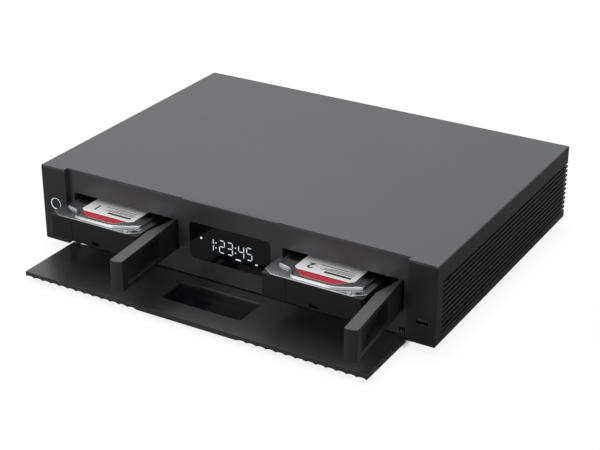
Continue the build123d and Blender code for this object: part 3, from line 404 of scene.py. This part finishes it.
# colours are linear, grain sizes and relief in millimetres
looks = {
    "case_aluminium": {"colour": (0.017, 0.017, 0.018), "shade": (0.021, 0.021, 0.0225),
                       "edge": (0.05, 0.05, 0.054), "edgeWidth": 0.4, "roughness": (0.32, 0.42),
                       "specular": 0.5, "grainSize": 0.5, "relief": 0.02, "dust": 0.05},
    "front_black": {"colour": (0.048, 0.048, 0.051), "shade": (0.053, 0.053, 0.056),
                    "edge": (0.07, 0.07, 0.075), "edgeWidth": 0.4, "roughness": (0.26, 0.36),
                    "specular": 0.5, "grainSize": 0.5, "relief": 0.01, "dust": 0.04},
    "door_black": {"colour": (0.025, 0.025, 0.0265), "shade": (0.029, 0.029, 0.031),
                   "edge": (0.06, 0.06, 0.065), "edgeWidth": 0.4, "roughness": (0.26, 0.34),
                   "specular": 0.6, "grainSize": 0.5, "relief": 0.01, "dust": 0.05},
    "dim_shell": {"colour": (0.1, 0.1, 0.105), "shade": (0.13, 0.13, 0.135), "metal": 1.0,
                  "roughness": (0.3, 0.4), "grainSize": 0.4, "relief": 0.01},
    # a darker copy of the case finish for the faces that look sideways: painted shade
    "shaded_side_black": {"colour": (0.014, 0.014, 0.015), "shade": (0.018, 0.018, 0.019),
                   "edge": (0.05, 0.05, 0.053), "edgeWidth": 0.4, "roughness": (0.4, 0.5),
                   "specular": 0.35, "grainSize": 0.5, "relief": 0.02, "dust": 0.05},
    # the cover's top is lighter than the rest of the case: painted light from above
    "cover_metal": {"colour": (0.081, 0.082, 0.089), "shade": (0.087, 0.088, 0.095),
                    "edge": (0.24, 0.24, 0.25), "roughness": (0.46, 0.56), "specular": 0.3,
                    "grainSize": 0.6, "relief": 0.03, "dust": 0.05},
    "pan_steel": {"colour": (0.03, 0.03, 0.032), "shade": (0.036, 0.036, 0.038),
                  "edge": (0.12, 0.12, 0.12), "roughness": (0.5, 0.65), "grainSize": 0.9,
                  "relief": 0.06},
    "rear_steel": {"colour": (0.032, 0.032, 0.034), "shade": (0.04, 0.04, 0.042),
                   "edge": (0.14, 0.14, 0.14), "roughness": (0.5, 0.62), "specular": 0.4,
                   "grainSize": 0.8, "relief": 0.05},
    "cage_steel": {"colour": (0.016, 0.016, 0.017), "shade": (0.021, 0.021, 0.022),
                   "edge": (0.08, 0.08, 0.08), "roughness": (0.5, 0.65), "specular": 0.35,
                   "grainSize": 0.8, "relief": 0.04},
    "foot_plastic": {"colour": (0.028, 0.028, 0.03), "shade": (0.034, 0.034, 0.036),
                     "roughness": (0.5, 0.62), "grainSize": 0.7, "relief": 0.06},
    "pad_rubber": {"colour": (0.018, 0.018, 0.018), "shade": (0.026, 0.026, 0.025),
                   "roughness": (0.75, 0.9), "specular": 0.3, "grainSize": 1.2, "relief": 0.1,
                   "dust": 0.1},
    "black_screw": {"colour": (0.012, 0.012, 0.013), "shade": (0.02, 0.02, 0.021),
                    "edge": (0.15, 0.15, 0.15), "edgeWidth": 0.3, "metal": 0.5,
                    "roughness": (0.3, 0.42), "grainSize": 0.4, "relief": 0.02},
    "zinc_screw": {"colour": (0.5, 0.5, 0.49), "shade": (0.62, 0.62, 0.6), "edge": (0.8, 0.8, 0.8),
                   "metal": 1.0, "roughness": (0.22, 0.36), "grainSize": 0.5, "relief": 0.02},
    "pin_steel": {"colour": (0.5, 0.5, 0.5), "shade": (0.58, 0.58, 0.58), "metal": 1.0,
                  "roughness": (0.2, 0.3), "grainSize": 0.3, "stretch": (1, 1, 0.1), "relief": 0.01},
    "smoked_glass": {"colour": (0.004, 0.004, 0.005), "shade": (0.006, 0.006, 0.007),
                     "roughness": (0.04, 0.09), "specular": 0.28, "grainSize": 3.0, "dust": 0.06},
    "lit_segment": {"colour": (0.9, 0.94, 1.0), "shade": (0.86, 0.92, 1.0), "roughness": (0.3, 0.4),
                    "grainSize": 0.5, "glow": (0.9, 0.95, 1.0), "glowStrength": 0.7},
    "lit_ring": {"colour": (0.85, 0.9, 1.0), "shade": (0.8, 0.86, 0.98), "roughness": (0.3, 0.4),
                 "grainSize": 0.5, "glow": (0.85, 0.9, 1.0), "glowStrength": 0.45},
    "dark_plastic": {"colour": (0.015, 0.015, 0.017), "shade": (0.02, 0.02, 0.022),
                     "edge": (0.07, 0.07, 0.07), "roughness": (0.42, 0.55), "specular": 0.4,
                     "grainSize": 0.6, "relief": 0.04},
    "rocker_plastic": {"colour": (0.018, 0.018, 0.019), "shade": (0.024, 0.024, 0.025),
                       "edge": (0.08, 0.08, 0.08), "roughness": (0.25, 0.36), "grainSize": 0.6,
                       "relief": 0.02},
    "circuit_board": {"colour": (0.016, 0.085, 0.045), "shade": (0.012, 0.07, 0.036),
                      "fleck": (0.03, 0.15, 0.08), "roughness": (0.28, 0.4), "grainSize": 1.4,
                      "stretch": (1, 0.15, 1), "relief": 0.03},
    "socket_shell": {"colour": (0.52, 0.53, 0.54), "shade": (0.6, 0.6, 0.62), "edge": (0.8, 0.8, 0.8),
                     "metal": 1.0, "roughness": (0.22, 0.34), "grainSize": 0.4, "relief": 0.01},
    "socket_gold": {"colour": (0.75, 0.56, 0.25), "shade": (0.82, 0.64, 0.3), "metal": 1.0,
                    "roughness": (0.2, 0.3), "grainSize": 0.4, "relief": 0.01},
    "brass_post": {"colour": (0.66, 0.5, 0.22), "shade": (0.72, 0.56, 0.26), "metal": 1.0,
                   "roughness": (0.25, 0.36), "grainSize": 0.4, "relief": 0.01},
    "bare_aluminium": {"colour": (0.62, 0.62, 0.63), "shade": (0.7, 0.7, 0.71), "metal": 1.0,
                       "roughness": (0.32, 0.45), "grainSize": 0.5, "stretch": (1, 0.1, 1),
                       "relief": 0.02},
    "supply_case": {"colour": (0.42, 0.42, 0.43), "shade": (0.55, 0.55, 0.56),
                    "fleck": (0.34, 0.34, 0.35), "metal": 1.0, "roughness": (0.32, 0.5),
                    "grainSize": 6.0, "relief": 0.02},
    "fan_plastic": {"colour": (0.016, 0.016, 0.017), "shade": (0.022, 0.022, 0.023),
                    "roughness": (0.42, 0.52), "grainSize": 0.6, "relief": 0.03},
    "drive_casting": {"colour": (0.012, 0.012, 0.0125), "shade": (0.015, 0.015, 0.0155),
                      "edge": (0.04, 0.04, 0.04), "edgeWidth": 0.3, "roughness": (0.5, 0.62),
                      "specular": 0.25, "grainSize": 0.9, "relief": 0.08},
    "drive_lid": {"colour": (0.34, 0.344, 0.355), "shade": (0.39, 0.394, 0.405),
                  "edge": (0.75, 0.75, 0.76), "metal": 1.0, "roughness": (0.2, 0.27), "grainSize": 0.35,
                  "stretch": (0.06, 1, 1), "relief": 0.003},
    "drive_label": {"colour": (0.94, 0.94, 0.95), "shade": (0.9, 0.9, 0.91), "roughness": (0.35, 0.5),
                    "grainSize": 0.8, "relief": 0.01},
    "red_print": {"colour": (0.5, 0.012, 0.03), "shade": (0.44, 0.01, 0.025), "roughness": (0.35, 0.5),
                  "grainSize": 0.8, "relief": 0.01},
    "tongue_plastic": {"colour": (0.09, 0.09, 0.095), "shade": (0.11, 0.11, 0.115),
                       "roughness": (0.4, 0.5), "grainSize": 0.5, "relief": 0.01},
    "black_print": {"colour": (0.02, 0.02, 0.02), "shade": (0.04, 0.04, 0.04), "roughness": (0.4, 0.55),
                    "grainSize": 0.5, "relief": 0.005},
}
finishes = {name: makeFinish(name, look) for name, look in looks.items()}

slotOfNode = {row["node"]: row["material_slot"] for row in frame["record"]["subparts"]}
bodyOfNode = {node: body for body, nodes in frame["record"]["behaviour"]["bodies"].items()
              for node in nodes}
plainFinish = {"door_hinge_pins": "black_screw"}  # nodes whose finish differs from their slot
for node, piece in frame["nodes"].items():
    piece.data.materials.clear()
    piece.data.materials.append(finishes[plainFinish.get(node, slotOfNode[node])])
    for face in piece.data.polygons:
        face.material_index = 0
print("finishes made:", len(finishes))

# width of the edge rounding in millimetres; at 0 the edges stay as they are
edgeRounding = {
    "top_cover": 0.5, "front_panel": 0.35, "side_panel_left": 0.35, "side_panel_right": 0.35,
    "front_door": 0.4, "lever_left": 0.45, "lever_right": 0.45,
    "drive_base_left": 0.5, "drive_base_right": 0.5, "tray_left": 0.2, "tray_right": 0.2,
    "power_button": 0.5, "rear_panel": 0.2, "mains_inlet": 0.4, "switch_frame": 0.3, "power_rocker": 0.4,
    "feet": 0.5, "foot_pads": 0.4, "fan_frame": 0.4, "fan_rotor": 0.2, "heat_sink": 0.2, "power_supply": 0.8,
    "hdmi_sockets": 0.15, "rear_usb_sockets": 0, "front_usb_socket": 0.12, "lan_socket": 0.2,
    "audio_sockets": 0.2, "optical_socket": 0.25, "cover_screws": 0.25, "side_panel_screws": 0.25,
    "rear_screws": 0.3, "drive_screws_left": 0.2, "drive_screws_right": 0.2, "display_window": 0.25,
    "door_window": 0.2, "drive_connector_left": 0.2, "drive_connector_right": 0.2,
    "drive_cage_left": 0.2, "drive_cage_right": 0.2,
}
# the side panels take the darker side finish as painted shade
otherFinish = {"side_panel_left": "shaded_side_black", "side_panel_right": "shaded_side_black",
               "front_panel": "front_black", "front_door": "door_black", "front_usb_socket": "dim_shell"}


def workEdges(node, width):
    piece = bpy.data.objects.new(node + "_worked", frame["nodes"][node].data.copy())
    bpy.context.scene.collection.objects.link(piece)
    takeUp(piece)
    bpy.ops.object.mode_set(mode="EDIT")
    bpy.ops.mesh.select_all(action="SELECT")
    bpy.ops.mesh.remove_doubles(threshold=edgeWork["mergeReach"] * mm)
    if width:
        bpy.ops.mesh.dissolve_limited(angle_limit=math.radians(edgeWork["flatAngle"]))
        soften(piece, width)
    else:
        smooth(piece, edgeWork["smoothAngle"])
    setIn(piece, bodyOfNode[node], slotOfNode[node], node, finish=otherFinish.get(node))
    return piece


def repaint(piece, finish, test):
    # gives a second finish to the faces that pass the test
    piece.data.materials.append(finishes[finish])
    index = len(piece.data.materials) - 1
    for face in piece.data.polygons:
        if test(face.center / mm, face.normal):
            face.material_index = index


worked = {node: workEdges(node, width) for node, width in edgeRounding.items()}

# where second finishes start, in millimetres; a turn is how far a face looks along an axis
cover = {"sideTurn": 0.6, "underTurn": 0.5}
frontPanel = {"endTurn": 0.6, "endX": 210, "wallFrontY": -106, "wallEndX": 213}
door = {"armX": 176.5, "armY": -104.3}
frontSocket = {"insideY": -108, "middleZ": 31.75, "tongueReach": 1.0}
rear = {
    "faceY": 199.45, "socketZ": 18.6,
    "videoLip": 0.3, "videoTongueUp": 3.2, "videoTongueReach": 0.9,
    "serialLevels": (4, 12), "serialTongue": 1.1,
    "inletX": -150, "inletZ": 33, "pinsDeep": 13.5, "pinsShort": 0.5, "sidePinX": 7, "sidePinDown": 1.6,
    "topPinUp": 2.4, "pinReachX": 1.2, "pinReachZ": 2.2,
    "lanX": 128, "lanReach": 7.0,
}
driveScrews = {"middleX": {"left": -128.7, "right": 109.0}, "headZ": 57.75, "upTurn": 0.7,
               "rightOf": 41, "behindY": -130}
across = 0.5  # a face with more than this of its normal along an axis looks that way

# painted shade: the cover's sides and underside take the darker side finish and read dark like the side
# panels under them, while its top keeps the lighter cover finish as painted light from above
repaint(worked["top_cover"], "shaded_side_black",
        lambda c, n: abs(n.x) > cover["sideTurn"] or n.z < -cover["underTurn"])
# painted shade: the front panel's end faces take the darker side finish
repaint(worked["front_panel"], "shaded_side_black",
        lambda c, n: abs(n.x) > frontPanel["endTurn"] and abs(c.x) > frontPanel["endX"])
repaint(worked["front_panel"], "case_aluminium",
        lambda c, n: c.y < frontPanel["wallFrontY"] and abs(c.x) < frontPanel["wallEndX"])
# painted shade: the door's hinge arms take the darker cage finish, so they stay dark behind the wall
repaint(worked["front_door"], "cage_steel", lambda c, n: abs(c.x) > door["armX"] and c.y > door["armY"])

# contact tongues and pins inside the sockets; heights and depths from the rear face
repaint(worked["hdmi_sockets"], "tongue_plastic",
        lambda c, n: c.y < rear["faceY"] + rear["videoLip"] and
        abs(c.z - rear["socketZ"] - rear["videoTongueUp"]) < rear["videoTongueReach"] and abs(n.z) > across)
repaint(worked["rear_usb_sockets"], "tongue_plastic",
        lambda c, n: c.y < rear["faceY"] and n.y > across or
        min(abs(c.z - rear["socketZ"] - level - rear["serialTongue"])
            for level in rear["serialLevels"]) < rear["serialTongue"] and abs(n.z) > across)
repaint(worked["front_usb_socket"], "tongue_plastic",
        lambda c, n: c.y > frontSocket["insideY"] and
        abs(c.z - frontSocket["middleZ"]) < frontSocket["tongueReach"] and
        (n.y < -across or abs(n.z) > across))
repaint(worked["mains_inlet"], "socket_shell",
        lambda c, n: rear["faceY"] - rear["pinsDeep"] < c.y < rear["faceY"] - rear["pinsShort"] and
        (abs(abs(c.x - rear["inletX"]) - rear["sidePinX"]) < rear["pinReachX"] and
         abs(c.z - rear["inletZ"] + rear["sidePinDown"]) < rear["pinReachZ"] or
         abs(c.x - rear["inletX"]) < rear["pinReachX"] and
         abs(c.z - rear["inletZ"] - rear["topPinUp"]) < rear["pinReachZ"]))
repaint(worked["lan_socket"], "dark_plastic",
        lambda c, n: c.y < rear["faceY"] and abs(c.x - rear["lanX"]) < rear["lanReach"])
# painted shade: the recesses in the screw heads are painted dark, and the screws on the right and at the
# rear, which lie in shade, are painted black all over
for side, middle in driveScrews["middleX"].items():
    screws = worked["drive_screws_" + side]
    repaint(screws, "black_screw",
            lambda c, n: c.z < driveScrews["headZ"] and n.z > driveScrews["upTurn"])
    repaint(screws, "black_screw",
            lambda c, n: c.x > middle + driveScrews["rightOf"] or c.y > driveScrews["behindY"])

lid = {
    "drives": {"left": (-179.5, -141.55), "right": (58.2, -141.55)},  # front left corner of each drive
    "castingTop": 56.9, "flange": 1.0, "flangeRounding": 0.25,
    "plate": [(0, 147), (0, 6.5), (10, 0), (91, 0), (101.6, 9), (101.6, 147)],
    "raised": [(7, 133), (5, 131), (5, 22), (6.4, 17.8), (12, 15.6), (17.5, 14.6), (21.6, 12.6), (24.2, 9),
               (25.2, 5), (28.2, 1.6), (34, 1.2), (67, 1.2), (73, 2), (90, 10.4), (94.8, 13.2), (96.5, 17.4),
               (96.5, 131), (94.5, 133)],
    "screws": [(2.7, 45), (2.7, 112), (87, 3), (94.3, 7.6), (98.9, 75), (98.9, 138)],
    # the bead's section, from its foot over the crest to the sunk field
    "bead": [(0.4, 0.9), (0.45, 0.8), (0.5, 0.45), (0.6, 0.15), (0.55, -0.1), (0.5, -0.35), (0.5, -0.5),
             (0.45, -0.3), (0.3, -0.05)],
    "raisedSunk": 0.4, "raisedWall": 0.5, "roundLevels": 2, "field": 59.0, "smoothAngle": 30,
    "screwRadius": 2.75, "pocketFloor": 0.5, "pocketDepth": 6, "pocketSides": 24,
    # how far the painted shade in the screw pockets reaches
    "pocketShade": {"above": 0.3, "below": 0.1, "beyond": 0.1},
    "pad": [(86.2, 13.2), (93.2, 16.6), (93.2, 19.6), (86.2, 17.8)], "padHeight": 0.7,
    "padSunk": 0.2, "padRounding": 0.22,
}
label = {
    "outline": [(22, 124), (22, 22), (36.5, 9), (67.8, 9), (82.5, 22), (82.5, 124)],
    "thickness": 0.14, "bandEdge": 18.6, "inkThickness": 0.02,
    # plain printed bars: left, front, width, depth, finish
    "bars": [(50, 23.6, 27, 3.2, "black_print"),
             (44, 28.6, 33, 0.8, "black_print"), (47, 30.6, 30, 0.8, "black_print"),
             (53, 32.6, 24, 0.8, "black_print"), (41, 35.6, 36, 0.8, "black_print"),
             (26, 100, 51, 0.5, "red_print"),
             (26, 110, 30, 1.2, "black_print"), (26, 114, 42, 0.8, "black_print")],
    "barcode": (30, 60, 46, 9), "stripeStep": 1.2, "stripeThinnest": 0.35, "stripeSpread": 0.45,
    "stripeStride": 7, "stripeKinds": 5,
    # lines of small print: left, shortest, and two numbers that vary the length
    "rowsFrom": 76.0, "rows": 6, "rowStep": 3.4, "rowDepth": 0.8, "columns": ((30, 20, 5, 9), (58, 12, 3, 7)),
    "number": (34, 30.5, 14.0), "numberBold": 0.3,
}


def shifted(points, corner):
    return [(corner[0] + x, corner[1] + y) for x, y in points]


def makeLid(side):
    corner = lid["drives"][side]
    flangeTop = lid["castingTop"] + lid["flange"]
    piece = startSlab("lidPlate", shifted(lid["plate"], corner), lid["castingTop"], lid["flange"])
    soften(piece, lid["flangeRounding"])
    raised = startSlab("lidRaised", shifted(lid["raised"], corner), flangeTop - lid["raisedSunk"],
                       lid["raisedWall"], lid["bead"])
    roundOff(raised, lid["roundLevels"])
    combine(piece, raised, "UNION")
    pocketMiddle = lid["castingTop"] + lid["pocketFloor"] + lid["pocketDepth"] / 2
    for x, y in shifted(lid["screws"], corner):
        tool = startDisc("tool", (x, y, pocketMiddle), lid["screwRadius"], lid["pocketDepth"],
                         lid["pocketSides"])
        combine(piece, tool, "DIFFERENCE")
    pad = startSlab("pad", shifted(lid["pad"], corner), lid["field"] - lid["padSunk"],
                    lid["padHeight"] + lid["padSunk"])
    soften(pad, lid["padRounding"])
    combine(piece, pad, "UNION")
    piece.name = "drive_lid_" + side + "_stamped"
    smooth(piece, lid["smoothAngle"])
    setIn(piece, "drive_" + side, "drive_lid", "drive_lid_" + side)
    # painted shade: the pockets round the screw heads are painted dark
    paint = lid["pocketShade"]
    places = shifted(lid["screws"], corner)
    repaint(piece, "black_screw",
            lambda c, n: lid["castingTop"] + paint["above"] < c.z < flangeTop - paint["below"] and
            any(math.dist((c.x, c.y), place) < lid["screwRadius"] + paint["beyond"] for place in places))


def makeLabel(side):
    corner = lid["drives"][side]
    low = lid["field"]
    sheet = startSlab("sheet", shifted(label["outline"], corner), low, label["thickness"])
    cutAcross(sheet, (0, corner[1] + label["bandEdge"], 0), (0, 1, 0))
    sheet.data.materials.clear()
    for finish in ("drive_label", "red_print"):
        sheet.data.materials.append(finishes[finish])
    for face in sheet.data.polygons:
        inBand = face.center.y / mm < corner[1] + label["bandEdge"]
        face.material_index = int(inBand and face.normal.z > across)
    sheet.name = "drive_label_" + side + "_sheet"
    setIn(sheet, "drive_" + side, "drive_label", "drive_label_" + side, finish=False)
    printLabel(side, corner, low + label["thickness"])


def printLabel(side, corner, height):
    ink = label["inkThickness"]
    marks = []

    def mark(x, y, wide, deep, finish):
        piece = startBox("mark", (corner[0] + x, corner[1] + y, height - ink),
                         (corner[0] + x + wide, corner[1] + y + deep, height + ink))
        piece.data.materials.append(finishes[finish])
        marks.append(piece)

    for x, y, wide, deep, finish in label["bars"]:
        mark(x, y, wide, deep, finish)
    x, y, wide, deep = label["barcode"]
    for i in range(int(wide / label["stripeStep"])):
        kind = (i * label["stripeStride"]) % label["stripeKinds"]
        stripe = label["stripeThinnest"] + label["stripeSpread"] * kind / (label["stripeKinds"] - 1)
        mark(x + i * label["stripeStep"], y, stripe, deep, "black_print")
    for row in range(label["rows"]):
        for left, shortest, stride, spread in label["columns"]:
            mark(left, label["rowsFrom"] + row * label["rowStep"], shortest + (row * stride) % spread,
                 label["rowDepth"], "black_print")
    deselectAll()
    x, y, size = label["number"]
    bpy.ops.object.text_add(rotation=(0, 0, math.pi))
    number = bpy.context.object
    number.data.body = {"left": "1", "right": "2"}[side]
    number.data.align_x = "CENTER"
    number.data.align_y = "CENTER"
    number.data.size = size * mm
    number.data.extrude = ink * mm
    number.data.offset = label["numberBold"] * mm
    bpy.ops.object.convert(target="MESH")
    number.location = ((corner[0] + x) * mm, (corner[1] + y) * mm, height * mm)
    number = startPiece("number")
    number.data.materials.clear()
    number.data.materials.append(finishes["black_print"])
    marks.append(number)
    printed = joinAll(marks, "drive_label_" + side + "_print")
    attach(printed, "drive_" + side)


for side in ("left", "right"):
    makeLid(side)
    makeLabel(side)
print("drive lids and labels made")

studio = {
    "lens": 86.20, "sensor": 36, "nearest": 0.01,
    "place": (0.654974, -1.09797, 0.64958), "turn": (64.1383, -0.1599, 30.2890),
    "keyPower": 20.0, "keySize": 1.8, "keyPlace": (-0.4, 0.5, 1.7), "keyTurn": (-18, -14, 0),
    "fillPower": 5.0, "fillSize": 0.9, "fillPlace": (-0.7, -1.3, 0.9), "fillTurn": (60, 0, -30),
    "surround": 0.5, "floorSize": 12.0, "floorColour": 0.2, "floorGlow": 0.97, "contactGlow": 0.8,
    "glowStrength": 1.04, "shadowReach": 0.03, "shadowSamples": 16, "floorRoughness": 0.9,
    # the dark area under the casing: axis, middle, reach
    "shaded": (("X", 0.0, 0.188), ("Y", 0.038, 0.15)), "shadedBorder": 0.01,
    # how much of the floor's white shows in reflections, from a place on the left to one on the right
    "floorLeftToRight": (-0.35, 0.25), "floorInReflections": (0.2, 0.03),
}


def outsideOf(tree, place, area, softness):
    # 1 outside the area on the floor, 0 inside it, with a soft border
    inside = 1.0
    for axis, middle, reach in area:
        away = calculate(tree, "ABSOLUTE", calculate(tree, "SUBTRACT", place.outputs[axis], middle))
        border = remap(tree, away, (reach - softness, reach), (1.0, 0.0), "SMOOTHSTEP")
        inside = calculate(tree, "MULTIPLY", border, inside)
    return calculate(tree, "SUBTRACT", 1.0, inside)


def mixInto(tree, share, first, second, output):
    mix = tree.nodes.new("ShaderNodeMixShader")
    tree.links.new(share, mix.inputs[0])
    tree.links.new(first.outputs[0], mix.inputs[1])
    tree.links.new(second.outputs[0], mix.inputs[2])
    tree.links.new(mix.outputs[0], tree.nodes[output].inputs["Surface"])


def makeFloor():
    deselectAll()
    bpy.ops.mesh.primitive_plane_add(size=studio["floorSize"])
    floor = startPiece("studioFloor")
    material = bpy.data.materials.new("floorWhite")
    material.use_nodes = True
    tree = material.node_tree
    shader = tree.nodes["Principled BSDF"]
    shader.inputs["Base Color"].default_value = (studio["floorColour"],) * 3 + (1,)
    shader.inputs["Roughness"].default_value = studio["floorRoughness"]
    glow = tree.nodes.new("ShaderNodeEmission")
    glow.inputs["Strength"].default_value = studio["glowStrength"]
    path = tree.nodes.new("ShaderNodeLightPath")
    # the floor's white shows less in reflections, least of all on the right
    place = tree.nodes.new("ShaderNodeSeparateXYZ")
    tree.links.new(objectPlace(tree), place.inputs["Vector"])
    mirrored = remap(tree, place.outputs["X"], studio["floorLeftToRight"], studio["floorInReflections"])
    seen = calculate(tree, "MULTIPLY_ADD", path.outputs["Is Glossy Ray"], mirrored,
                     path.outputs["Is Camera Ray"], clamp=True)
    # a light contact shadow, and full shade under the casing
    near = tree.nodes.new("ShaderNodeAmbientOcclusion")
    near.inputs["Distance"].default_value = studio["shadowReach"]
    near.samples = studio["shadowSamples"]
    contact = remap(tree, near.outputs["AO"], (0.0, 1.0), (studio["contactGlow"], studio["floorGlow"]))
    outside = outsideOf(tree, place, studio["shaded"], studio["shadedBorder"])
    share = calculate(tree, "MULTIPLY", calculate(tree, "MULTIPLY", seen, outside), contact)
    mixInto(tree, share, shader, glow, "Material Output")
    floor.data.materials.append(material)


def makeWorld():
    # plain white where it is seen or mirrored, softer where it lights
    world = bpy.data.worlds.new("studioWorld")
    bpy.context.scene.world = world
    world.use_nodes = True
    tree = world.node_tree
    soft = tree.nodes["Background"]
    soft.inputs["Color"].default_value = (1, 1, 1, 1)
    soft.inputs["Strength"].default_value = studio["surround"]
    white = tree.nodes.new("ShaderNodeBackground")
    white.inputs["Color"].default_value = (1, 1, 1, 1)
    path = tree.nodes.new("ShaderNodeLightPath")
    seen = calculate(tree, "MAXIMUM", path.outputs["Is Camera Ray"], path.outputs["Is Glossy Ray"])
    seen = calculate(tree, "MAXIMUM", seen, path.outputs["Is Transmission Ray"])
    mixInto(tree, seen, soft, white, "World Output")


def placeInStudio(name, data, place, turn):
    item = bpy.data.objects.new(name, data)
    item.location = place
    item.rotation_euler = Euler([math.radians(a) for a in turn])
    bpy.context.scene.collection.objects.link(item)
    return item


def makeLamps():
    for name in ("key", "fill"):
        lamp = bpy.data.lights.new(name + "Softbox", "AREA")
        lamp.shape = "SQUARE"
        lamp.size = studio[name + "Size"]
        lamp.energy = studio[name + "Power"]
        placeInStudio(name + "Softbox", lamp, studio[name + "Place"], studio[name + "Turn"])


def makeCamera():
    camera = bpy.data.cameras.new("photoCamera")
    camera.lens = studio["lens"]
    camera.sensor_width = studio["sensor"]
    camera.clip_start = studio["nearest"]
    bpy.context.scene.camera = placeInStudio("photoCamera", camera, studio["place"], studio["turn"])
    bpy.context.scene.view_settings.view_transform = "Standard"


makeFloor()
makeWorld()
makeLamps()
makeCamera()
print("studio set")
